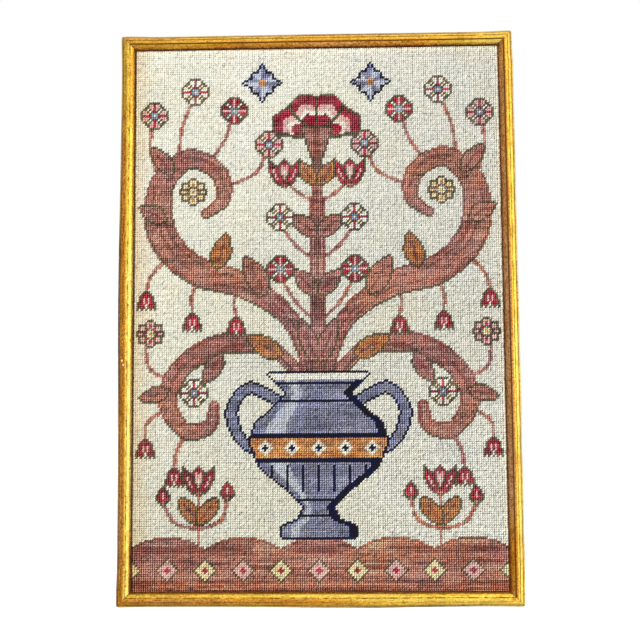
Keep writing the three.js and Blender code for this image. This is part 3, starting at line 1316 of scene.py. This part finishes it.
def make_rail(side, gilt, wood):
    """A length of moulding: its section at every station, moved by wear, with a face at each mitre."""
    u, h, gilt_points = moulding_section()
    out_u, out_h = outward(u, h)
    setback = u + MITRE_GAP / 2 * math.sqrt(2)
    s = setback + stations(side.length)[:, None] * (side.length - 2 * setback)
    across, height = np.broadcast_to(u, s.shape), np.broadcast_to(h, s.shape)
    worn, sunk = worn_skin(side, s, across, height > FILLET_HEIGHT - 4)
    uneven = 0.05 * lattice_noise(s, across * 3, 24, side.seed)
    uneven = uneven + 0.03 * lattice_noise(s, across * 2, 5, side.seed + 10)
    choked = GROOVE_FILL * (1 - side.toning) * np.clip(1 - np.abs(u - GROOVE[0]) / (GROOVE[1] / 2), 0, 1)
    free = gilt_points & (u < FACE_WIDTH - 0.1) & (h > 0.5)
    move = np.where(free, uneven - sunk + choked, 0.0)
    across, height = across + out_u * move, height + out_h * move
    grime = grime_along(side, s / side.length)

    s, bowed = out_of_true(side, s, across)
    steps = ((side.along, s), (side.inward, bowed), (np.array((0, -1, 0)), height))
    places = side.start + sum(way * (size * MM)[..., None] for way, size in steps)
    at = np.arange(s.size).reshape(s.shape)
    faces = grid_faces(np.column_stack([at, at[:, 0]])).tolist()
    slots = np.tile(np.where(gilt_points, 0, 1), len(s) - 1).tolist() + [1, 1]
    faces += [at[0].tolist(), at[-1, ::-1].tolist()]
    piece = new_mesh(side.node + "_moulding", places.reshape(-1, 3), faces, [gilt, wood], slots)
    piece.data.set_sharp_from_angle(angle=math.radians(42))

    side_top = FILLET_HEIGHT - EDGE_RADIUS
    # Copper tones, partly patina and partly painted shade, with random change.
    tint = side.patina(across, s / side.length) + 0.12 * lattice_noise(s, across * 4, 60, side.seed + 20)
    add_numbers(
        piece,
        in_from_edge=np.broadcast_to(np.where((u < 0.01) & (h < side_top), h - side_top, u), s.shape),
        along_length=s + side.seed * 1000,
        worn=worn,
        coppery=np.clip(tint, -0.3, 1),
        groove_toning=np.full(s.shape, side.toning),
        edge_grime=grime,
    )
    rounds = np.concatenate([[0], np.cumsum(np.hypot(np.diff(u), np.diff(h)))])
    add_map(piece, s.ravel() / side.length, np.tile(rounds / rounds[-1], len(s)))
    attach(piece, "root")
    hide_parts(side.node)
    return piece


# ---- the studio


def make_camera():
    """Straight in front, a little below the middle, tilted up and turned by small angles."""
    data = bpy.data.cameras.new("camera")
    data.lens, data.sensor_width = 55, 36
    data.clip_start, data.clip_end = 0.05, 60
    camera = add_object("camera", data)
    level = Matrix(((1, 0, 0), (0, 0, -1), (0, 1, 0))).to_4x4()
    turn, pitch, roll = (Matrix.Rotation(math.radians(angle), 4, axis) for angle, axis in CAMERA_TURNS)
    face = Vector((CAD_MIDDLE.x, CAD_BOX[0].y, CAD_MIDDLE.z))
    camera.matrix_world = Matrix.Translation(face + Vector(CAMERA_PLACE)) @ turn @ level @ pitch @ roll
    bpy.context.scene.camera = camera


def area_light(name, offset, size, power, colour):
    """A rectangular light that faces the middle of the picture from an offset."""
    data = bpy.data.lights.new(name, "AREA")
    data.shape = "RECTANGLE"
    data.size, data.size_y = size
    data.energy = power
    data.color = colour
    light = add_object(name, data)
    light.location = CAD_MIDDLE + Vector(offset)
    light.rotation_euler = (CAD_MIDDLE - light.location).to_track_quat("-Z", "Y").to_euler()
    light.visible_camera = False
    return light


def make_world():
    """Soft light from all round. Gloss sees a room that is bright on the right, dim on the left."""
    world = bpy.data.worlds.new("studio")
    bpy.context.scene.world = world
    world.use_nodes = True
    tree = world.node_tree
    tree.nodes.clear()
    x, z = across_and_up(Wire(add_node(tree, "TexCoord"), "Generated"))
    over = x + z.maths("MINIMUM", 0.0) * ROOM_SLANT
    sideways = grey_ramp(over.remap(-1.0, 1.0), [(0.5 + 0.5 * at, glow) for at, glow in ROOM_SIDEWAYS])
    room = sideways * z.remap(-1.0, 1.0, ROOM_BELOW, ROOM_ABOVE)
    rays = add_node(tree, "LightPath")
    diffuse = Wire(rays, "Is Diffuse Ray")
    glow = diffuse * SOFT_LIGHT + (1.0 - diffuse) * room
    lighting = Wire(add_node(tree, "Background", Color=(1.0, 0.99, 0.975), Strength=glow))
    seen = Wire(add_node(tree, "Background", Color=(1, 1, 1), Strength=1.0))
    both = add_node(tree, "MixShader", _0=Wire(rays, "Is Camera Ray"), _1=lighting, _2=seen)
    add_node(tree, "OutputWorld", Surface=Wire(both))


def make_floor(level):
    """A white floor out to the horizon, which throws no light back up at the picture."""
    corners = np.array([(-1, -1), (1, -1), (1, 1), (-1, 1)]) * FLOOR_REACH
    paint = Surface("floor_paint").finish(
        Base_Color=(0.93, 0.93, 0.92), Roughness=0.8, Emission_Color=(1, 1, 1), Emission_Strength=0.9
    )
    floor = new_mesh("floor", np.insert(corners, 2, level, axis=1), [(0, 1, 2, 3)], [paint])
    floor.visible_diffuse = False
    floor.visible_glossy = False


def make_studio():
    key = area_light("key", (-0.5, -1.85, 0.25), (1.0, 1.0), KEY_POWER, (1.0, 0.995, 0.975))
    key.visible_glossy = False
    side = area_light("side_softbox", (2.0, -1.5, 0.45), (1.3, 1.8), SIDE_POWER, (1.0, 0.98, 0.93))
    side.visible_diffuse = False
    make_world()
    make_floor(CAD_MIDDLE.z - FLOOR_DROP)
    bpy.context.scene.view_settings.view_transform = "Standard"


make_camera()
make_studio()
gilt, wood = gilt_material(), raw_wood_material()
rails = [make_rail(side, gilt, wood) for side in frame_sides()]
sheet, bands = make_needlework()
